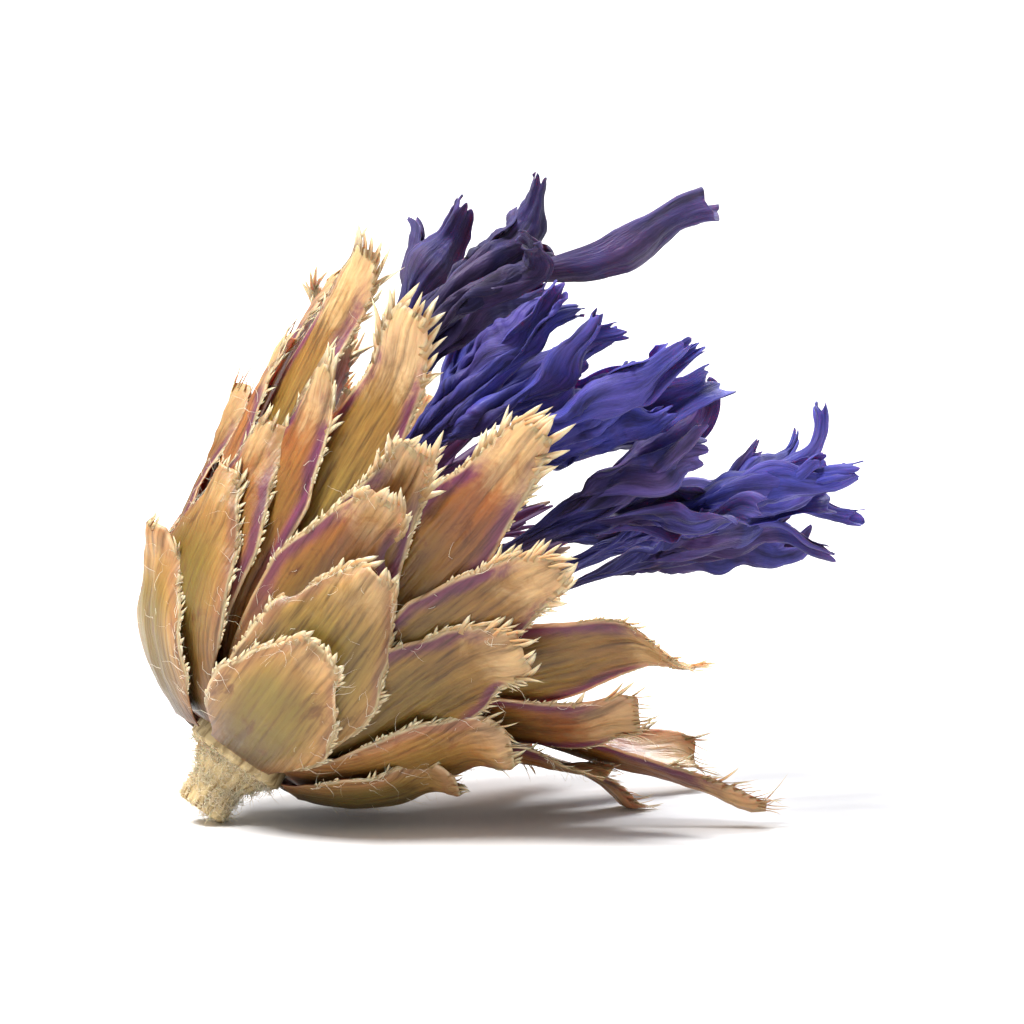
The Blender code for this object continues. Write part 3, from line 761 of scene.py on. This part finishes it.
def lathe(profile, around, seed, rib, ribs, rough):
    """A piece begun with a turned body, ribbed and uneven."""
    radii, heights = np.array(profile).T[..., None]
    angle = np.arange(around) / around * 2 * pi
    wave = 1 + rib * np.cos(ribs * angle + seed) + rough * noise(
        stack(np.cos(angle) * 2.4, np.sin(angle) * 2.4, heights * 1.6), seed)
    r = radii * wave
    points = stack(r * np.cos(angle), r * np.sin(angle), heights + 0 * r).reshape(-1, 3)
    piece = Piece()
    piece.add(points, capped_faces(len(profile), around), flat=stack(angle * 0.7, heights, seed))
    return piece


def build_stem(materials):
    """The cut stub, hollow-ended and ribbed, under its wool."""
    rng = random.Random(31)
    foot = -STEM_LENGTH
    profile = [(0.12, foot + 0.22), (0.3, foot + 0.14), (0.4, foot + 0.02), (0.5, foot), (0.56, foot + 0.015)]
    profile += [(0.6 + 0.03 * sin(7 * t) + 0.24 * ease((t - 0.55) / 0.45),
                 foot + 0.06 + t * (STEM_LENGTH - 0.19)) for t in np.linspace(0, 1, 16)]
    profile += [(0.9, 0.02), (0.86, 0.12), (0.3, 0.14)]
    piece = lathe(profile, 72, STEM_SEED, rib=0.035, ribs=14, rough=0.05)
    roots, ways, normals = [], [], []
    for _ in range(STEM_WOOL):
        a, t = rng.uniform(0, 2 * pi), rng.random() ** 0.8
        h = foot + 0.02 + t * (STEM_LENGTH + 0.2)
        r = 0.57 + 0.3 * ease((t - 0.5) / 0.35) + 0.22 * ease((t - 0.82) / 0.1)
        n, s = round_axis(a)
        roots.append(n * r + UP * h)
        ways.append(n * rng.uniform(0.15, 1.0) + s * rng.uniform(-1, 1) + UP * rng.uniform(-0.5, 1))
        normals.append(n)
    add_threads(piece, roots, ways, normals, rng, 0.5, 0.011, 0.75)
    piece.build("stem_woolly", materials, "stem")


def build_receptacle(materials):
    """The cone under the bracts and the bristly dish above, which show between the outer bracts and
    down the mouth."""
    rng = random.Random(57)
    profile = [(0.3, 0.02), (0.84, 0.0), (1.12, 0.07), (1.25, 0.16), (1.22, 0.5), (1.17, 0.9), (1.14, 1.3),
               (1.14, 1.66)]
    low, high = 1.9, FLORET_BASE_HEIGHT - CLEARANCE
    profile += [(1.5, low), (1.95, low + 0.22), (2.3, low + 0.46), (DISC_RADIUS - 0.04, low + 0.62),
                (DISC_RADIUS - 0.03, low + 0.8), (2.1, high - 0.16), (1.5, high - 0.06),
                (0.8, high - 0.02), (0.2, high)]
    piece = lathe(profile, 64, RECEPTACLE_SEED, rib=0.006, ribs=10, rough=0.012)
    roots, ways, normals = [], [], []
    for _ in range(RECEPTACLE_BRISTLES):
        a, r = rng.uniform(0, 2 * pi), 2.35 * sqrt(rng.random())
        n = round_axis(a)[0]
        roots.append(n * r + UP * (high - 0.12 * (r / 2.4) ** 2))
        stray = np.array([rng.gauss(0, 0.1) + 0.12, rng.gauss(0, 0.1), 0])
        ways.append(UP + n * 0.2 * r + stray)
        normals.append(np.cross(n, UP))
    add_threads(piece, roots, ways, normals, rng, 2.3, 0.014, 0.08)
    piece.build("receptacle_bristly", materials, "receptacle")


# ---------------- materials


class Paint:
    """Short names for the nodes of one material."""

    def __init__(self, name):
        self.material = bpy.data.materials.new(name)
        self.material.use_nodes = True
        self.tree = self.material.node_tree
        self.shader = self.tree.nodes["Principled BSDF"]

    def put(self, socket, v):
        """Links a node's output to a socket, or sets the socket to a constant."""
        if isinstance(v, bpy.types.NodeSocket):
            self.tree.links.new(v, socket)
        else:
            socket.default_value = (*v, 1) if socket.type == "RGBA" else v

    def node(self, kind, inputs=(), **settings):
        """A new node with its settings and inputs."""
        n = self.tree.nodes.new(kind)
        for k, v in settings.items():
            setattr(n, k, v)
        for k, v in dict(inputs).items():
            self.put(n.inputs[k], v)
        return n

    def value(self, name):
        return self.node("ShaderNodeAttribute", attribute_name=name).outputs["Fac"]

    def grain(self, across, along, detail, rough=0.55, distortion=0.0):
        """Noise over the piece's unrolled surface, with so many grains to a millimetre each way."""
        flat = self.node("ShaderNodeAttribute", attribute_name="flat").outputs["Vector"]
        spread = self.node("ShaderNodeVectorMath", {0: flat, 1: (across, along, 1)}, operation="MULTIPLY")
        inputs = {"Vector": spread.outputs[0], "Scale": 1.0, "Detail": detail, "Roughness": rough,
                  "Distortion": distortion}
        return self.node("ShaderNodeTexNoise", inputs).outputs["Fac"]

    def math(self, operation, a, b=0.0):
        return self.node("ShaderNodeMath", {0: a, 1: b}, operation=operation).outputs[0]

    def times(self, a, b):
        return self.math("MULTIPLY", a, b)

    def between(self, x, low, high, to_low=0.0, to_high=1.0):
        """A smooth step from one value to another as x goes from low to high."""
        return self.node("ShaderNodeMapRange", {0: x, 1: low, 2: high, 3: to_low, 4: to_high},
                         interpolation_type="SMOOTHSTEP").outputs[0]

    def mix(self, factor, a, b, blend="MIX"):
        n = self.node("ShaderNodeMix", data_type="RGBA", blend_type=blend)
        for k, v in ((0, factor), (6, a), (7, b)):
            self.put(n.inputs[k], v)
        return n.outputs[2]

    def ramp(self, factor, *stops):
        n = self.node("ShaderNodeValToRGB", {0: factor})
        while len(n.color_ramp.elements) < len(stops):
            n.color_ramp.elements.new(0.5)
        for e, (position, colour) in zip(n.color_ramp.elements, stops):
            e.position, e.color = position, (*colour, 1)
        return n.outputs[0]

    def tint(self, colour, *stops, by):
        """The colour multiplied by a ramp's."""
        return self.mix(1.0, colour, self.ramp(by, *stops), "MULTIPLY")

    def finish(self, colour, roughness, height=None, bump=0.0, distance=0.0, **sockets):
        """The material, with its shader's sockets linked or set."""
        if height is not None:
            b = self.node("ShaderNodeBump", {"Strength": bump, "Distance": distance, "Height": height})
            sockets["Normal"] = b.outputs[0]
        for k, v in dict(sockets, Base_Color=colour, Roughness=roughness).items():
            self.put(self.shader.inputs[k.replace("_", " ")], v)
        return self.material


def srgb(r, g, b):
    """A colour given as it looks on screen, from 0 to 255."""
    return tuple((c / 255 / 12.92) if c <= 10.3 else ((c / 255 + 0.055) / 1.055) ** 2.4 for c in (r, g, b))


def bract_material():
    p = Paint("dry_bract")
    across, share, edge = p.value("across"), p.value("along"), p.value("edge")
    tooth, inside, age = p.value("tooth"), p.value("inside"), p.value("age")
    fine = p.grain(9, 0.7, 4.0)
    broad = p.grain(0.9, 0.45, 3.0)
    speck = p.grain(7, 5, 2.0)
    stain = p.grain(1.9, 1.0, 4.0, 0.65, 0.6)
    centre = p.times(p.between(p.math("ABSOLUTE", across), 0.95, 0.35), p.between(share, 0.88, 0.6))
    straw = p.mix(stain, srgb(146, 102, 48), srgb(198, 158, 98))
    olive = p.mix(broad, srgb(98, 82, 28), srgb(140, 120, 54))
    body = p.mix(p.times(centre, p.between(fine, 0.25, 0.6, 0.6, 1.0)), straw, olive)
    rust = p.mix(broad, srgb(158, 98, 46), srgb(124, 76, 52))
    tipward = p.times(p.between(share, 0.5, 0.85), p.between(age, 0.1, 0.8))
    body = p.mix(p.times(tipward, p.between(broad, 0.3, 0.65, 0.35, 1.0)), body, rust)
    body = p.mix(p.times(p.between(stain, 0.54, 0.7), 0.75), body, srgb(104, 62, 30))
    body = p.mix(p.between(age, 0.1, 0.6, 0.0, 0.9), body, (0.96, 0.74, 0.42), "MULTIPLY")
    hue = p.math("FRACT", p.times(p.value("seed"), 3.17))
    orange = p.mix(stain, srgb(140, 80, 34), srgb(196, 130, 74))
    green = p.mix(fine, srgb(96, 78, 26), srgb(150, 128, 60))
    body = p.mix(p.between(hue, 0.62, 0.95, 0.0, 0.6), body, orange)
    body = p.mix(p.between(hue, 0.38, 0.05, 0.0, 0.55), body, green)
    purple = p.mix(broad, srgb(92, 42, 86), srgb(126, 64, 84))
    reach = p.math("ADD", edge, p.times(stain, 0.9))
    reach = p.math("SUBTRACT", reach, p.between(hue, 0.3, 0.8, 0.0, 0.16))
    band = p.times(p.between(reach, 1.25, 0.7), p.between(share, 0.3, 0.55))
    band = p.times(band, p.between(age, 0.15, 0.6, 0.25, 1.0))
    body = p.mix(band, body, purple)
    cream = p.mix(speck, srgb(204, 172, 128), srgb(232, 212, 178))
    papery = p.mix(stain, srgb(186, 146, 96), srgb(218, 190, 144))
    tip_line = p.math("ADD", share, p.times(p.math("SUBTRACT", stain, 0.5), 0.3))
    tip = p.times(p.between(tip_line, 0.78, 0.95), p.between(age, 0.15, 0.4, 0.3, 0.95))
    body = p.mix(tip, body, papery)
    hem = p.times(p.between(edge, 0.22, 0.06), p.between(share, 0.2, 0.4))
    body = p.mix(hem, body, p.mix(0.25, cream, srgb(176, 120, 84)))
    body = p.tint(body, (0.3, (0.42, 0.38, 0.32)), (0.48, (0.88, 0.86, 0.82)), (0.7, (1.16, 1.16, 1.14)),
                  by=fine)
    # Painted shade: the outer face is darkened and browned towards the bract's base, where the bracts overlap
    # and shade each other.
    body = p.tint(body, (0.05, (0.36, 0.28, 0.2)), (0.5, (1, 1, 1)), by=share)
    tone = p.math("FRACT", p.times(p.value("seed"), 7.31))
    body = p.tint(body, (0.0, (0.6, 0.53, 0.44)), (0.4, (0.84, 0.79, 0.72)), (0.75, (1, 1, 1)),
                  (1.0, (1.08, 1.05, 1.0)), by=tone)
    inner = p.mix(stain, srgb(158, 98, 48), srgb(212, 158, 98))
    inner = p.mix(p.times(p.between(broad, 0.45, 0.65), 0.5), inner, srgb(136, 78, 44))
    # Painted shade: the inner face is darkened to a deep brown towards its base, down inside the head.
    inner = p.mix(p.between(share, 0.5, 0.15), inner, srgb(98, 54, 26))
    mauve = p.times(p.between(tip_line, 0.62, 0.78), p.between(stain, 0.3, 0.6, 0.25, 0.85))
    inner = p.mix(mauve, inner, srgb(134, 84, 88))
    inner = p.mix(p.between(tip_line, 0.8, 0.94), inner, papery)
    inner = p.tint(inner, (0.3, (0.5, 0.45, 0.4)), (0.48, (0.9, 0.88, 0.85)), (0.66, (1.1, 1.1, 1.08)),
                   by=fine)
    face = p.mix(p.between(inside, 0.45, 0.55), body, inner)
    fringe = p.mix(p.between(tooth, 0.3, 0.75), srgb(176, 130, 84), cream)
    colour = p.mix(p.between(tooth, 0.05, 0.3), face, fringe)
    rough = p.between(inside, 0.0, 1.0, 0.44, 0.32)
    height = p.math("ADD", fine, p.times(speck, 0.35))
    return p.finish(colour, rough, height, 0.7, 0.00007, Subsurface_Weight=0.3, Subsurface_Scale=0.0003,
                    Specular_IOR_Level=0.45)


def thread_material(name, colour, roughness, **sockets):
    """Hairs, wool or bristles of one pale colour."""
    return Paint(name).finish(srgb(*colour), roughness, Subsurface_Weight=0.2, Subsurface_Scale=0.0001,
                              **sockets)


def stem_material():
    p = Paint("dry_stem")
    fine = p.grain(9, 1.2, 4.0)
    broad = p.grain(1.6, 1.2, 3.0)
    colour = p.mix(broad, srgb(186, 160, 110), srgb(220, 198, 150))
    colour = p.mix(p.between(fine, 0.55, 0.3), colour, srgb(120, 92, 50))
    return p.finish(colour, 0.75, fine, 0.6, 0.00006)


def floret_material():
    p = Paint("dry_floret")
    share, edge, shade = p.value("along"), p.value("edge"), p.value("age")
    fine = p.grain(15, 0.6, 5.0, 0.65)
    broad = p.grain(0.8, 0.55, 3.0)
    blue = p.mix(p.between(broad, 0.35, 0.65), srgb(27, 23, 66), srgb(46, 45, 120))
    violet = p.mix(broad, srgb(54, 36, 84), srgb(84, 62, 128))
    limb = p.mix(p.between(broad, 0.56, 0.36), blue, violet)
    # Lighter violet at the lobes' margins and tips: partly the dried petals' own paler edges, partly a
    # painted highlight.
    limb = p.mix(p.times(p.between(edge, 0.35, 0.0), 0.6), limb, srgb(80, 76, 150))
    limb = p.mix(p.between(shade, 0.6, 0.85, 0.0, 0.55), limb, srgb(52, 56, 152))
    limb = p.mix(p.between(shade, 0.35, 0.1, 0.0, 0.6), limb, srgb(46, 34, 64))
    tube = p.mix(broad, srgb(134, 112, 132), srgb(92, 70, 112))
    colour = p.mix(p.between(share, 0.22, 0.5), tube, limb)
    colour = p.mix(p.between(share, 0.12, 0.04), colour, srgb(200, 126, 70))
    colour = p.tint(colour, (0.3, (0.26, 0.23, 0.3)), (0.48, (0.85, 0.85, 0.9)), (0.66, (1.6, 1.56, 1.5)),
                    by=fine)
    # Painted shade and highlight: darker towards the floret's base, where it sits down among the bracts, and
    # a touch lighter at the lobe tips.
    colour = p.tint(colour, (0.3, (0.62, 0.58, 0.66)), (0.62, (0.84, 0.82, 0.86)), (0.95, (1.03, 1.03, 1.06)),
                    by=share)
    rough = p.between(fine, 0.3, 0.7, 0.75, 0.5)
    return p.finish(colour, rough, fine, 0.9, 0.0001, Subsurface_Weight=0.1, Subsurface_Scale=0.0002,
                    Sheen_Weight=0.1, Specular_IOR_Level=0.35)


def disc_material():
    p = Paint("dry_disc_floret")
    share = p.value("along")
    fine = p.grain(14, 0.8, 3.0)
    purple = p.mix(fine, srgb(58, 30, 66), srgb(104, 62, 122))
    tube = p.mix(fine, srgb(196, 168, 140), srgb(164, 130, 140))
    colour = p.mix(p.between(share, 0.4, 0.62), tube, purple)
    colour = p.mix(p.between(share, 0.3, 0.24), colour, srgb(214, 186, 134))
    return p.finish(colour, 0.5, fine, 0.5, 0.00004, Subsurface_Weight=0.1, Subsurface_Scale=0.0002)


def anther_material():
    p = Paint("anther_column")
    colour = p.mix(p.between(p.value("along"), 0.9, 0.98), srgb(52, 26, 60), srgb(170, 140, 120))
    return p.finish(colour, 0.5)


# ---------------- surface, light and camera


def build_floor():
    """A wide level sheet whose top is the surface the head rests on, not part of the flower."""
    n = 9
    x = np.linspace(-FLOOR_SIZE / 2, FLOOR_SIZE / 2, n)
    solid, faces = thicken(stack(x[None, :], x[:, None], 0.0), grid_faces(n, n), FLOOR_THICKNESS)
    solid[:, 2] -= FLOOR_THICKNESS / 2
    mesh = bpy.data.meshes.new("surface")
    mesh.from_pydata(solid.tolist(), [], faces)
    floor = Paint("pale_surface").finish((0.86, 0.86, 0.875), 0.55, Specular_IOR_Level=0.2)
    mesh.materials.append(floor)
    obj = bpy.data.objects.new("surface", mesh)
    bpy.context.scene.collection.objects.link(obj)


def area_light(name, place, target, size, power, colour):
    """A round soft light that faces a target."""
    light = bpy.data.lights.new(name, "AREA")
    light.shape, light.size, light.energy, light.color = "DISK", size, power, colour
    obj = bpy.data.objects.new(name, light)
    obj.location = place
    obj.rotation_euler = (Vector(target) - Vector(place)).to_track_quat("-Z", "Y").to_euler()
    bpy.context.scene.collection.objects.link(obj)


def build_set():
    """The pale floor, the soft light and the camera."""
    scene = bpy.context.scene
    build_floor()
    world = bpy.data.worlds.new("studio")
    world.use_nodes = True
    background = world.node_tree.nodes["Background"]
    background.inputs[0].default_value = (1, 1, 1, 1)
    background.inputs[1].default_value = WORLD_STRENGTH
    scene.world = world
    area_light("key", (-0.09, -0.04, 0.2), (0, 0, 0.006), 0.09, 0.92, (1, 0.985, 0.96))
    area_light("back", (0.08, 0.18, 0.2), (0, 0, 0.008), 0.14, 0.75, (1, 1, 1))
    camera = bpy.data.objects.new("camera", bpy.data.cameras.new("camera"))
    scene.collection.objects.link(camera)
    scene.camera = camera
    target = Vector(CAMERA_AIM)
    back = Vector((0, -cos(CAMERA_ELEVATION), sin(CAMERA_ELEVATION)))
    camera.location = target + CAMERA_DISTANCE * back
    camera.rotation_euler = (target - camera.location).to_track_quat("-Z", "Y").to_euler()
    camera.data.sensor_width = SENSOR_WIDTH
    camera.data.lens = SENSOR_WIDTH * CAMERA_DISTANCE / VIEW_WIDTH
    camera.data.clip_start, camera.data.clip_end = 0.01, 10
    scene.view_settings.view_transform = "Standard"
    scene.view_settings.look = "None"


def main():
    bract, hair = bract_material(), thread_material("cobweb_hair", (244, 232, 208), 0.6)
    for ring, row in enumerate(RINGS):
        for number in range(row[0]):
            build_bract(ring, number, [bract, hair])
    floret = floret_material()
    for number, row in enumerate(RAYS, 1):
        build_ray(number, row, [floret])
    disc, anther = disc_material(), anther_material()
    for number in range(1, DISC_FLORETS + 1):
        build_disc_floret(number, [disc, anther])
    wool = thread_material("stem_wool", (238, 220, 184), 0.75, Sheen_Weight=0.3)
    stem, bristle = stem_material(), thread_material("receptacle_bristle", (226, 204, 160), 0.5)
    build_stem([stem, wool])
    build_receptacle([stem, bristle])
    build_set()


main()
